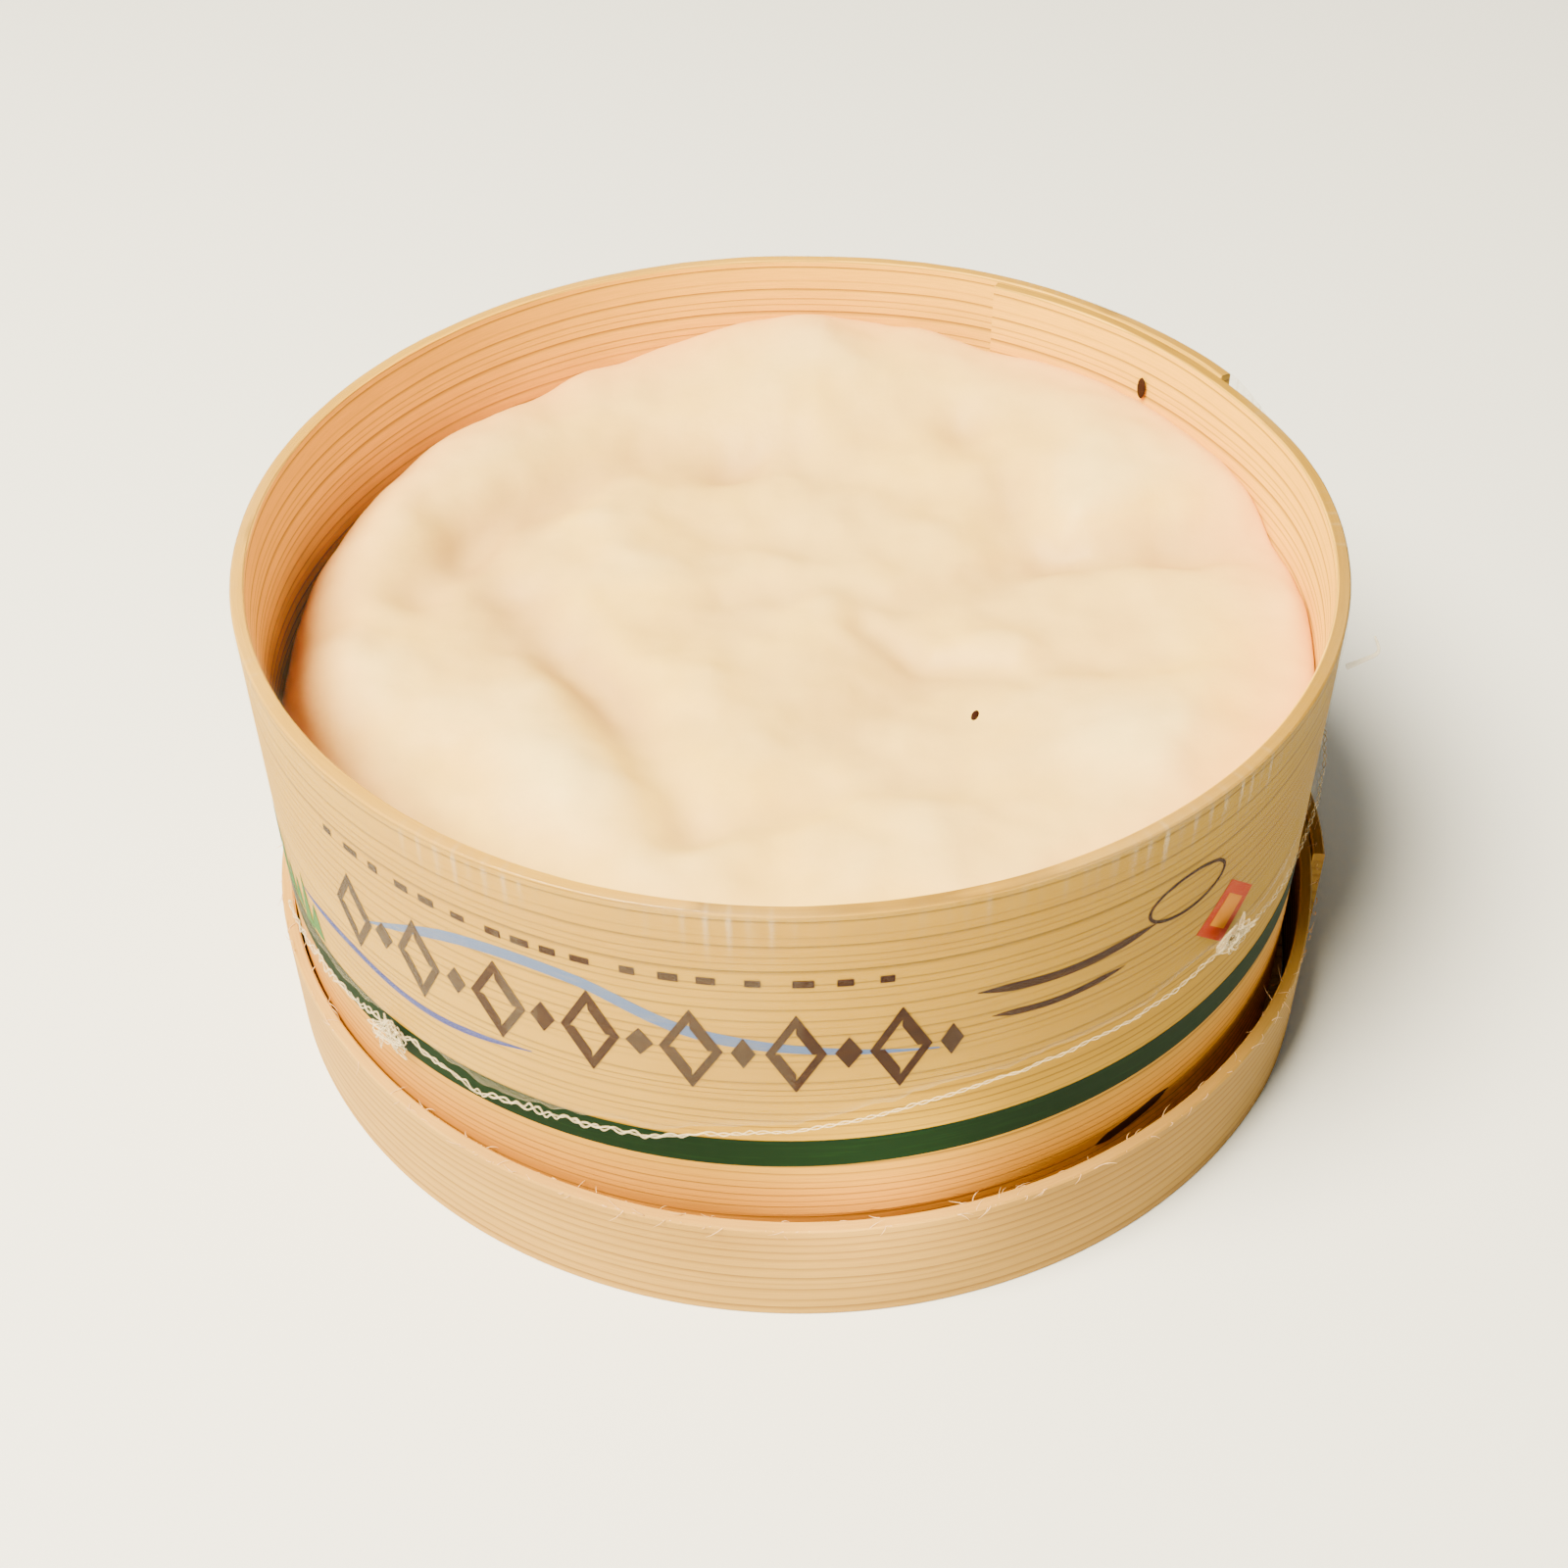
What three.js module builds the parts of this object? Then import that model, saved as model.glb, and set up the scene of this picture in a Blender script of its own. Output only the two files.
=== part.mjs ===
// A round soft cheese in the spruce box it ripened in, the box standing in its own lid,
// with a clear film drawn over the mouth and part way down the side.
// Millimetres, +Z up, origin at the middle of the whole part's underside, -Y to the front.
import * as THREE from "three";

// Box: one strip of spruce bent to a hoop whose ends lap, round a thin base
const BOX_RADIUS = 70;
const BOX_VENEER = 1.7;
const BOX_TOP = 66.7;
const BOX_LAP_FROM = 29.4;
const BOX_LAP_SPAN = 33.3;
const BASE_THICK = 2;

// Lid: a wider, lower hoop of the same make, turned over as a tray; the box stands to its left in it
const LID_RADIUS = 73;
const LID_VENEER = 1.6;
const LID_HEIGHT = 16.8;
const LID_LAP_FROM = -8;
const LID_LAP_SPAN = 30;
const LID_DISC_THICK = 2;
const LID_SHIFT = 1.1;

// Distance from the box's axis to the middle of the whole part, where the origin is
const MIDDLE_X = 1.57;

// Veneer ends: distance between the two layers and the turn a layer takes to step in or out
const LAYER_GAP = 0.3;
const LAP_EASE = 25;

// Turns over which what lies inside a hoop gives way to the strip's inner end
const INNER_END_FROM = 345;
const INNER_END_TO = 357;

// Clearance kept between neighbouring pieces
const FIT_GAP = 0.3;

// Cheese: its level, how far it rounds off at the edge (more at the left) and at its foot
const CHEESE_LEVEL = 51.4;
const CHEESE_ROUND_WIDTH = 4;
const CHEESE_ROUND_DROP = 2.5;
const CHEESE_LEFT_WIDTH = 9;
const CHEESE_LEFT_DROP = 8;
const CHEESE_LEFT_ANGLE = 192;
const CHEESE_FOOT_ROUND = 3;

// Radii between which the level rises or falls to the height at the wall, and that height by angle
const WALL_RISE_FROM = 28;
const WALL_RISE_TO = 60;
const WALL_HEIGHT = [
  [-180, 50.5], [-150, 49], [-120, 50], [-90, 51], [-60, 52], [-30, 52.5], [-3, 53], [10, 54], [23, 56.5],
  [40, 58.3], [51, 58], [64, 57], [74, 57.5], [85, 58.4], [100, 56.5], [111, 54.5], [122, 54], [134, 53.6],
  [147, 53.6], [165, 52.5], [180, 50.5],
];

// Swells and folds of the rind: x, y, half length, half width, turn in degrees, rise
const RIND_RELIEF = [
  [-24, 52, 14, 9, -20, 1.2],
  [8, 56, 15, 9, 5, 1.0],
  [46, 32, 20, 14, -35, 2.0],
  [57, -4, 15, 12, 80, 1.2],
  [-54, 22, 18, 9, 62, 1.8],
  [-57, -16, 18, 9, 105, 1.4],
  [-34, -27, 24, 9, -50, 2.8],
  [-12, 13, 24, 17, 0, 1.0],
  [26, -7, 8, 5, -12, 1.6],
  [40, -31, 18, 13, 40, 2.2],
  [2, -46, 20, 11, 0, 1.2],
  [-36, 24, 21, 5, 46, -1.9],
  [-8, 40, 16, 5, -8, -1.4],
  [-27, -10, 27, 5, -60, -2.2],
  [33, 30, 15, 5, 72, -1.4],
  [50, 12, 16, 5, 8, -1.8],
  [12, -12, 18, 8, 15, -1.0],
];

// Film: thickness, how far it stands off the box, and the height of its lower edge by angle
const FILM_THICK = 0.3;
const FILM_BRIDGE_HOLD = 3;
const FILM_BRIDGE_SPAN = 12;
const FILM_EDGE = [
  [-180, 25.5], [-150, 27], [-129, 29.8], [-122, 27.4], [-113, 29.3], [-105, 29.9],
  [-97, 32.1], [-90, 33], [-83, 35], [-73, 37.2], [-62, 38.3], [-54, 38.5], [-46, 39.9],
  [-35, 38.4], [-15, 40.5], [10, 42], [40, 39.5], [70, 37], [100, 34.5], [130, 30],
  [155, 27.5], [180, 25.5],
];

// Fineness of the curves
const HOOP_STEPS = 108;
const DISC_SIDES = 108;
const CHEESE_SIDES = 84;
const CHEESE_RINGS = 14;
const FILM_SIDES = 120;

const spruce = new THREE.MeshStandardMaterial({ color: 0xe3bd85, roughness: 0.7, metalness: 0 });
const lidSpruce = new THREE.MeshStandardMaterial({ color: 0xe0c6a0, roughness: 0.72, metalness: 0 });
const rind = new THREE.MeshStandardMaterial({ color: 0xf2dfc0, roughness: 0.55, metalness: 0 });
const clearFilm = new THREE.MeshStandardMaterial({
  color: 0xf4f2ec, roughness: 0.12, metalness: 0, transparent: true, opacity: 0.18,
});

const radians = THREE.MathUtils.degToRad;
const smooth = THREE.MathUtils.smoothstep;

const wrap = (angle) => ((angle % 360) + 360) % 360;

// Offset of a strip from its round at a given turn along it: inside at the start, outside at the end
function lapShift(hoop, turn) {
  const half = (hoop.veneer + LAYER_GAP) / 2;
  const inside = 1 - smooth(turn, hoop.lapSpan, hoop.lapSpan + LAP_EASE);
  const outside = smooth(turn, 360 - LAP_EASE, 360);
  return half * (outside - inside);
}

// Turn along the strip at a compass angle, the strip running clockwise from its inner end
const turnAt = (hoop, angle) => wrap(hoop.lapFrom + hoop.lapSpan - angle);

// Plan outline of a whole strip, out along one face and back along the other
function hoopShape(hoop) {
  const sweep = 360 + hoop.lapSpan;
  const outer = [];
  const inner = [];
  for (let i = 0; i <= HOOP_STEPS; i += 1) {
    const turn = (sweep * i) / HOOP_STEPS;
    const angle = radians(hoop.lapFrom + hoop.lapSpan - turn);
    const radius = hoop.radius + lapShift(hoop, turn);
    outer.push(new THREE.Vector2(Math.cos(angle), Math.sin(angle)).multiplyScalar(radius));
    inner.push(new THREE.Vector2(Math.cos(angle), Math.sin(angle)).multiplyScalar(radius - hoop.veneer));
  }
  return new THREE.Shape([...inner, ...outer.reverse()]);
}

function extruded(shape, bottom, top) {
  const geometry = new THREE.ExtrudeGeometry(shape, { depth: top - bottom, bevelEnabled: false });
  geometry.translate(0, 0, bottom);
  return geometry;
}

// Disc that fits inside a hoop, clear of its inner lap
function discInside(hoop, bottom, top) {
  const points = [];
  for (let i = 0; i < DISC_SIDES; i += 1) {
    const angle = (360 * i) / DISC_SIDES;
    const radius = clearInside(hoop, angle);
    points.push(new THREE.Vector2(Math.cos(radians(angle)), Math.sin(radians(angle))).multiplyScalar(radius));
  }
  return extruded(new THREE.Shape(points), bottom, top);
}

// Largest radius free of a hoop's inner face, eased past the inner end of the strip
function clearInside(hoop, angle) {
  const turn = turnAt(hoop, angle);
  const past = smooth(turn, INNER_END_FROM, INNER_END_TO);
  const half = (hoop.veneer + LAYER_GAP) / 2;
  const inward = Math.max(past, 1 - smooth(turn, hoop.lapSpan, hoop.lapSpan + LAP_EASE));
  return hoop.radius - hoop.veneer - half * inward - FIT_GAP;
}

// Smallest radius outside a hoop's outer face, bridging the step at the outer end
function clearOutside(hoop, angle) {
  const turn = turnAt(hoop, angle);
  const half = (hoop.veneer + LAYER_GAP) / 2;
  const bridgeFrom = hoop.lapSpan + FILM_BRIDGE_HOLD;
  let shift = lapShift(hoop, turn);
  if (turn <= hoop.lapSpan) {
    shift = lapShift(hoop, turn + 360);
  } else if (turn < bridgeFrom + FILM_BRIDGE_SPAN) {
    const end = lapShift(hoop, bridgeFrom + FILM_BRIDGE_SPAN);
    const along = Math.max(0, (turn - bridgeFrom) / FILM_BRIDGE_SPAN);
    shift = half + (end - half) * along;
  }
  return hoop.radius + shift + FIT_GAP;
}

// Closed solid through rings of equal count, each ring a list of points, between two end points
function ringSolid(start, rings, end) {
  const count = rings[0].length;
  const positions = [start, ...rings.flat(), end].flatMap((p) => [p.x, p.y, p.z]);
  const last = rings.length * count + 1;
  const index = [];
  const at = (ring, i) => 1 + ring * count + (i % count);
  for (let i = 0; i < count; i += 1) {
    index.push(0, at(0, i + 1), at(0, i));
    index.push(last, at(rings.length - 1, i), at(rings.length - 1, i + 1));
    for (let ring = 0; ring + 1 < rings.length; ring += 1) {
      index.push(at(ring, i), at(ring, i + 1), at(ring + 1, i + 1));
      index.push(at(ring, i), at(ring + 1, i + 1), at(ring + 1, i));
    }
  }
  const geometry = new THREE.BufferGeometry();
  geometry.setAttribute("position", new THREE.Float32BufferAttribute(positions, 3));
  geometry.setIndex(index);
  geometry.computeVertexNormals();
  return geometry;
}

function ringOf(sides, pointAt) {
  return Array.from({ length: sides }, (_, i) => pointAt((360 * i) / sides));
}

const polar = (angle, radius, z) =>
  new THREE.Vector3(radius * Math.cos(radians(angle)), radius * Math.sin(radians(angle)), z);

// Height read from a table of angle and height, straight between its rows
function heightAt(table, angle) {
  const a = wrap(angle + 180) - 180;
  const after = table.findIndex(([at], i) => i > 0 && at >= a);
  const [a0, z0] = table[after - 1];
  const [a1, z1] = table[after];
  return z0 + ((z1 - z0) * (a - a0)) / (a1 - a0);
}

// Height of the rind: a level, the swells and folds, the rise at the wall and the rounding at the edge
function rindHeight(angle, radius, edge) {
  const x = radius * Math.cos(radians(angle));
  const y = radius * Math.sin(radians(angle));
  let z = CHEESE_LEVEL;
  for (const [cx, cy, length, width, turn, rise] of RIND_RELIEF) {
    const c = Math.cos(radians(turn));
    const s = Math.sin(radians(turn));
    const along = ((x - cx) * c + (y - cy) * s) / length;
    const across = ((y - cy) * c - (x - cx) * s) / width;
    z += rise * Math.exp(-(along * along + across * across));
  }
  z += (heightAt(WALL_HEIGHT, angle) - CHEESE_LEVEL) * smooth(radius, WALL_RISE_FROM, WALL_RISE_TO);
  const left = Math.max(0, Math.cos(radians(angle - CHEESE_LEFT_ANGLE)));
  const width = CHEESE_ROUND_WIDTH + CHEESE_LEFT_WIDTH * left;
  const drop = CHEESE_ROUND_DROP + CHEESE_LEFT_DROP * left;
  const u = THREE.MathUtils.clamp((radius - edge + width) / width, 0, 1);
  return z - drop * (1 - Math.sqrt(1 - u * u));
}

function cheeseGeometry(hoop, bottom) {
  const edgeAt = (angle) => clearInside(hoop, angle);
  const foot = ringOf(CHEESE_SIDES, (a) => polar(a, edgeAt(a) - CHEESE_FOOT_ROUND, bottom));
  const heel = ringOf(CHEESE_SIDES, (a) => polar(a, edgeAt(a), bottom + CHEESE_FOOT_ROUND));
  const rings = [foot, heel];
  for (let ring = 0; ring < CHEESE_RINGS; ring += 1) {
    const share = Math.sin((Math.PI / 2) * (1 - ring / CHEESE_RINGS));
    rings.push(ringOf(CHEESE_SIDES, (a) => {
      const radius = edgeAt(a) * share;
      return polar(a, radius, rindHeight(a, radius, edgeAt(a)));
    }));
  }
  const middle = new THREE.Vector3(0, 0, rindHeight(0, 0, edgeAt(0)));
  return ringSolid(new THREE.Vector3(0, 0, bottom), rings, middle);
}

// Film: up inside the skirt, across under the top, and back over the outside
function filmGeometry(hoop, underside) {
  const near = (a) => clearOutside(hoop, a);
  const far = (a) => near(a) + FILM_THICK;
  const top = underside + FILM_THICK;
  const rings = [
    ringOf(FILM_SIDES, (a) => polar(a, near(a), underside)),
    ringOf(FILM_SIDES, (a) => polar(a, near(a), heightAt(FILM_EDGE, a))),
    ringOf(FILM_SIDES, (a) => polar(a, far(a), heightAt(FILM_EDGE, a))),
    ringOf(FILM_SIDES, (a) => polar(a, far(a), top)),
  ];
  return ringSolid(new THREE.Vector3(0, 0, underside), rings, new THREE.Vector3(0, 0, top));
}

const group = new THREE.Group();
group.name = "boxed_soft_cheese";

function add(name, geometry, material) {
  geometry.translate(-MIDDLE_X, 0, 0);
  const mesh = new THREE.Mesh(geometry, material);
  mesh.name = name;
  group.add(mesh);
}

const boxHoop = { radius: BOX_RADIUS, veneer: BOX_VENEER, lapFrom: BOX_LAP_FROM, lapSpan: BOX_LAP_SPAN };
const lidHoop = { radius: LID_RADIUS, veneer: LID_VENEER, lapFrom: LID_LAP_FROM, lapSpan: LID_LAP_SPAN };
const boxBottom = LID_DISC_THICK + FIT_GAP;
const cheeseBottom = boxBottom + BASE_THICK + FIT_GAP;

add("lid_disc", discInside(lidHoop, 0, LID_DISC_THICK).translate(LID_SHIFT, 0, 0), lidSpruce);
add("lid_hoop", extruded(hoopShape(lidHoop), 0, LID_HEIGHT).translate(LID_SHIFT, 0, 0), lidSpruce);
add("box_base", discInside(boxHoop, boxBottom, boxBottom + BASE_THICK), spruce);
add("box_hoop", extruded(hoopShape(boxHoop), boxBottom, BOX_TOP), spruce);
add("cheese", cheeseGeometry(boxHoop, cheeseBottom), rind);
add("film", filmGeometry(boxHoop, BOX_TOP + FIT_GAP), clearFilm);

export default group;
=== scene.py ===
import math
import random
import bmesh
import bpy
import numpy as np
from mathutils import Matrix, Vector, noise


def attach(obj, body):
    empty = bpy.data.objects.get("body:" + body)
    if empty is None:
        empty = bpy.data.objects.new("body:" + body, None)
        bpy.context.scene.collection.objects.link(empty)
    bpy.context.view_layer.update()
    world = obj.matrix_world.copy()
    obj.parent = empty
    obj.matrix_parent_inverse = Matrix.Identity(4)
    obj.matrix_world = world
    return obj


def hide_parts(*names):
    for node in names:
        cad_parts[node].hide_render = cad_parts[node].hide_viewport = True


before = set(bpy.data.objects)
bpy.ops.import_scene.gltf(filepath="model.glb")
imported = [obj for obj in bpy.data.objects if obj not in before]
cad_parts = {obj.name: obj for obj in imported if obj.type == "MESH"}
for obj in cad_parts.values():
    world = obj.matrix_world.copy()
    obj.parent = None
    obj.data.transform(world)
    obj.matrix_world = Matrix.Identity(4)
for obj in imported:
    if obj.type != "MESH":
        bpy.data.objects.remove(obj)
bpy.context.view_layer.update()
mm = 0.001
# pieces are made round the box's axis, which stands this many mm left of the origin
middle = 1.57
random.seed(11)


def linear(hexCode):
    parts = [int(hexCode[i:i + 2], 16) / 255 for i in (0, 2, 4)]
    return [p / 12.92 if p <= 0.04045 else ((p + 0.055) / 1.055) ** 2.4 for p in parts] + [1.0]


# adds one node: settings go to its properties, inputs are values or sockets to link from
def addNode(tree, kind, settings=None, inputs=None):
    node = tree.nodes.new(kind)
    for key, value in (settings or {}).items():
        setattr(node, key, value)
    for key, value in (inputs or {}).items():
        if isinstance(value, bpy.types.NodeSocket):
            tree.links.new(value, node.inputs[key])
        else:
            node.inputs[key].default_value = value
    return node


def newMaterial(name):
    material = bpy.data.materials.new(name)
    material.use_nodes = True
    material.node_tree.nodes.clear()
    return material, material.node_tree


def setSurface(tree, shader):
    addNode(tree, "ShaderNodeOutputMaterial", None, {"Surface": shader})


def mathNode(tree, operation, a, b=0.0, c=0.0):
    return addNode(tree, "ShaderNodeMath", {"operation": operation}, {0: a, 1: b, 2: c}).outputs[0]


def mixColour(tree, factor, a, b, blend="MIX"):
    node = addNode(tree, "ShaderNodeMix", {"data_type": "RGBA", "blend_type": blend},
        {0: factor, 6: a, 7: b})
    return node.outputs[2]


# closed solid through rings of equal count between two end points, with named vector values per point
def ringSolid(name, start, rings, end, values=None, sharp=0.7):
    rings = np.asarray(rings)
    rows, count = rings.shape[:2]
    verts = np.vstack([[start], rings.reshape(-1, 3), [end]]) * mm
    i = np.arange(count)
    j = (i + 1) % count
    faces = [(0, a, b) for a, b in zip((1 + j).tolist(), (1 + i).tolist())]
    for row in range(rows - 1):
        low = 1 + row * count
        high = low + count
        faces += np.stack([low + i, low + j, high + j, high + i], 1).tolist()
    top = 1 + (rows - 1) * count
    last = len(verts) - 1
    faces += [(last, a, b) for a, b in zip((top + i).tolist(), (top + j).tolist())]
    mesh = bpy.data.meshes.new(name)
    mesh.from_pydata(verts.tolist(), [], faces)
    for key, ringValues in (values or {}).items():
        flat = np.asarray(ringValues).reshape(rows * count, 3)
        flat = np.vstack([flat[:count].mean(0), flat, flat[-count:].mean(0)])
        mesh.attributes.new(key, "FLOAT_VECTOR", "POINT").data.foreach_set("vector", flat.ravel())
    return placeMesh(name, mesh, sharp)


def placeMesh(name, mesh, sharp):
    work = bmesh.new()
    work.from_mesh(mesh)
    bmesh.ops.recalc_face_normals(work, faces=work.faces)
    work.to_mesh(mesh)
    work.free()
    mesh.polygons.foreach_set("use_smooth", [True] * len(mesh.polygons))
    mesh.set_sharp_from_angle(angle=sharp)
    piece = bpy.data.objects.new(name, mesh)
    bpy.context.scene.collection.objects.link(piece)
    return piece


def dress(piece, material, slotName, *nodes):
    piece.data.materials.clear()
    piece.data.materials.append(material)
    piece.data.transform(Matrix.Translation((-middle * mm, 0, 0)))
    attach(piece, "root")
    if nodes:
        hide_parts(*nodes)


def smoothStep(value, low, high):
    t = np.clip((value - low) / (high - low), 0, 1)
    return t * t * (3 - 2 * t)


# soft three-dimensional noise at each point, feature size in the points' own unit
def noiseAt(points, size, seed):
    shift = Vector((seed * 7.3, seed * 3.1, seed * 5.7))
    values = [noise.noise(Vector(p) / size + shift) for p in points.reshape(-1, 3)]
    return np.array(values).reshape(points.shape[:-1])


# camera: where the photograph was taken from, found from the rims' outlines
view = {"place": (-2.588, -220.883, 221.234), "elevation": 42.09, "roll": -0.58, "lens": 48.31}
camera = bpy.data.cameras.new("camera")
camera.lens = view["lens"]
camera.sensor_width = 36
cameraObject = bpy.data.objects.new("camera", camera)
lift = math.radians(view["elevation"])
back = Vector((0, -math.cos(lift), math.sin(lift)))
right = Vector((1, 0, 0))
up = back.cross(right)
turn = math.radians(view["roll"])
right2 = right * math.cos(turn) + up * math.sin(turn)
up2 = up * math.cos(turn) - right * math.sin(turn)
axes = Matrix((right2, up2, back)).transposed().to_4x4()
cameraObject.matrix_world = Matrix.Translation(Vector(view["place"]) * mm) @ axes
bpy.context.scene.collection.objects.link(cameraObject)
bpy.context.scene.camera = cameraObject

# the two hoops: strips of spruce whose ends lap, running clockwise from the inner end
box = {"radius": 70, "veneer": 1.7, "low": 2.3, "high": 66.7, "lapFrom": 29.4, "lapSpan": 33.3,
    "wave": 0.18, "seed": 1, "shift": 0}
lid = {"radius": 73, "veneer": 1.6, "low": 0, "high": 16.8, "lapFrom": -8, "lapSpan": 30, "wave": 0.14,
    "seed": 2, "shift": 1.1}
layerGap = 0.3
lapEase = 25
fitGap = 0.3
innerEnd = (345, 357)


def lapShift(hoop, turned):
    half = (hoop["veneer"] + layerGap) / 2
    inside = 1 - smoothStep(turned, hoop["lapSpan"], hoop["lapSpan"] + lapEase)
    return half * (smoothStep(turned, 360 - lapEase, 360) - inside)


def hoopPiece(name, hoop, stations=420):
    sweep = 360 + hoop["lapSpan"]
    turned = np.linspace(0, sweep, stations)
    angle = np.radians(hoop["lapFrom"] + hoop["lapSpan"] - turned)
    outer = hoop["radius"] + lapShift(hoop, turned)
    low, high, thick = hoop["low"], hoop["high"], hoop["veneer"]
    bevel = 0.22
    rise = np.linspace(low + bevel, high - bevel, 9)
    section = [(-thick + bevel, low), (-bevel, low)]
    section += [(0, z) for z in rise]
    section += [(-bevel, high), (-thick / 2, high + 0.02), (-thick + bevel, high)]
    section += [(-thick, z) for z in rise[::-1]]
    section = np.array(section)
    spread = section[None, :, 0] + outer[:, None]
    heights = np.repeat(section[None, :, 1], stations, 0)
    along = np.repeat((np.radians(turned) * hoop["radius"])[:, None], len(section), 1)
    # the upper cut edge wanders a little
    lineUp = np.stack([along[:, 0], np.zeros(stations), np.full(stations, hoop["seed"])], -1)
    sway = noiseAt(lineUp, 26, hoop["seed"]) + 0.4 * noiseAt(lineUp, 5, hoop["seed"] + 5)
    share = np.clip((heights - low) / (high - low), 0, 1)
    heights = heights - hoop["wave"] * np.abs(sway)[:, None] * (share > 0.95)
    places = np.stack([spread * np.cos(angle)[:, None], spread * np.sin(angle)[:, None], heights], -1)
    places[:, :, 0] += hoop["shift"]
    grain = np.stack([along, heights, spread - outer[:, None]], -1) * mm
    ends = places.mean(1)
    return ringSolid(name, ends[0], places, ends[-1], {"strip": grain})


# spruce veneer: pale early wood, thin dark late-wood lines along the strip, silky fibres
def spruceMaterial(name, look):
    material, tree = newMaterial(name)
    if look.get("flat"):
        place = addNode(tree, "ShaderNodeTexCoord").outputs["Object"]
    else:
        place = addNode(tree, "ShaderNodeAttribute", {"attribute_name": "strip"}).outputs["Vector"]
    parts = addNode(tree, "ShaderNodeSeparateXYZ", None, {0: place})
    across = parts.outputs[1]
    slow = addNode(tree, "ShaderNodeMapping", None,
        {"Vector": place, "Scale": (14, 60, 60), "Location": look["shift"]})
    drift = addNode(tree, "ShaderNodeTexNoise", None,
        {"Vector": slow.outputs[0], "Scale": 1.0, "Detail": 2.0})
    bend = mathNode(tree, "MULTIPLY_ADD", drift.outputs["Fac"], 0.0016, across)
    uneven = addNode(tree, "ShaderNodeTexNoise", {"noise_dimensions": "1D"},
        {"W": bend, "Scale": 190.0, "Detail": 1.0})
    phase = mathNode(tree, "MULTIPLY_ADD", uneven.outputs["Fac"], look["uneven"],
        mathNode(tree, "DIVIDE", bend, look["ring"]))
    cycle = mathNode(tree, "FRACT", phase)
    late = addNode(tree, "ShaderNodeValToRGB", None, {"Fac": cycle})
    ramp = late.color_ramp
    ramp.elements[0].position = look["start"]
    ramp.elements[0].color = (0, 0, 0, 1)
    ramp.elements[1].position = 0.93
    ramp.elements[1].color = (1, 1, 1, 1)
    fade = ramp.elements.new(1.0)
    fade.color = (0, 0, 0, 1)
    strong = addNode(tree, "ShaderNodeTexNoise", {"noise_dimensions": "1D"},
        {"W": mathNode(tree, "FLOOR", phase), "Scale": 0.73})
    weight = mathNode(tree, "MULTIPLY", late.outputs[0],
        mathNode(tree, "MULTIPLY_ADD", strong.outputs["Fac"], 1.5, -0.12))
    silk = addNode(tree, "ShaderNodeMapping", None,
        {"Vector": place, "Scale": (160, 5200, 5200), "Location": look["shift"]})
    fibre = addNode(tree, "ShaderNodeTexNoise", None,
        {"Vector": silk.outputs[0], "Scale": 1.0, "Detail": 3.0})
    broad = addNode(tree, "ShaderNodeMapping", None,
        {"Vector": place, "Scale": (24, 90, 90), "Location": look["shift"]})
    stain = addNode(tree, "ShaderNodeTexNoise", None,
        {"Vector": broad.outputs[0], "Scale": 1.0, "Detail": 4.0})
    pale = mixColour(tree, stain.outputs["Fac"], linear(look["pale"]), linear(look["warm"]))
    # painted shade: the strips are darker and browner towards the right, standing in for the shadow on
    # that side
    if "paintedShade" in look:
        where = addNode(tree, "ShaderNodeSeparateXYZ", None,
            {0: addNode(tree, "ShaderNodeTexCoord").outputs["Object"]})
        brown = addNode(tree, "ShaderNodeMapRange", None, {
            "Value": where.outputs[0], 1: 0.0, 2: 0.066, 3: 1.0, 4: look["paintedShade"]})
        pale = mixColour(tree, 1.0, pale, brown.outputs[0], "MULTIPLY")
    # bare wood near the foot is ruddier than the wood under the film, and is painted darker there as
    # shade above the lid's rim
    if "ruddyAndShadedFoot" in look:
        foot = addNode(tree, "ShaderNodeMapRange", None,
            {"Value": across, 1: 0.03, 2: 0.02, 3: 0.0, 4: 1.0})
        pale = mixColour(tree, foot.outputs[0], pale, linear(look["ruddyAndShadedFoot"]))
    # painted light: the inner face of each hoop gets its own brighter, more golden colour, standing in
    # for light falling inside the box and lid
    if "inner" in look:
        inside = addNode(tree, "ShaderNodeMapRange", None,
            {"Value": parts.outputs[2], 1: -0.0014, 2: -0.0016, 3: 0.0, 4: 1.0})
        pale = mixColour(tree, inside.outputs[0], pale, linear(look["inner"]))
    colour = mixColour(tree, mathNode(tree, "MULTIPLY", weight, look["contrast"]), pale,
        linear(look["late"]))
    silky = addNode(tree, "ShaderNodeMapRange", None,
        {"Value": fibre.outputs["Fac"], 1: 0.3, 2: 0.7, 3: 0.9, 4: 1.06})
    colour = mixColour(tree, 1.0, colour, silky.outputs[0], "MULTIPLY")
    rough = mathNode(tree, "MULTIPLY_ADD", fibre.outputs["Fac"], 0.2, 0.52)
    lift = addNode(tree, "ShaderNodeBump", None,
        {"Strength": 0.35, "Distance": 0.00012,
        "Height": mathNode(tree, "SUBTRACT", fibre.outputs["Fac"], weight)})
    shader = addNode(tree, "ShaderNodeBsdfPrincipled", None,
        {"Base Color": colour, "Roughness": rough, "Normal": lift.outputs[0], "Specular IOR Level": 0.08})
    setSurface(tree, shader.outputs[0])
    return material


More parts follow.
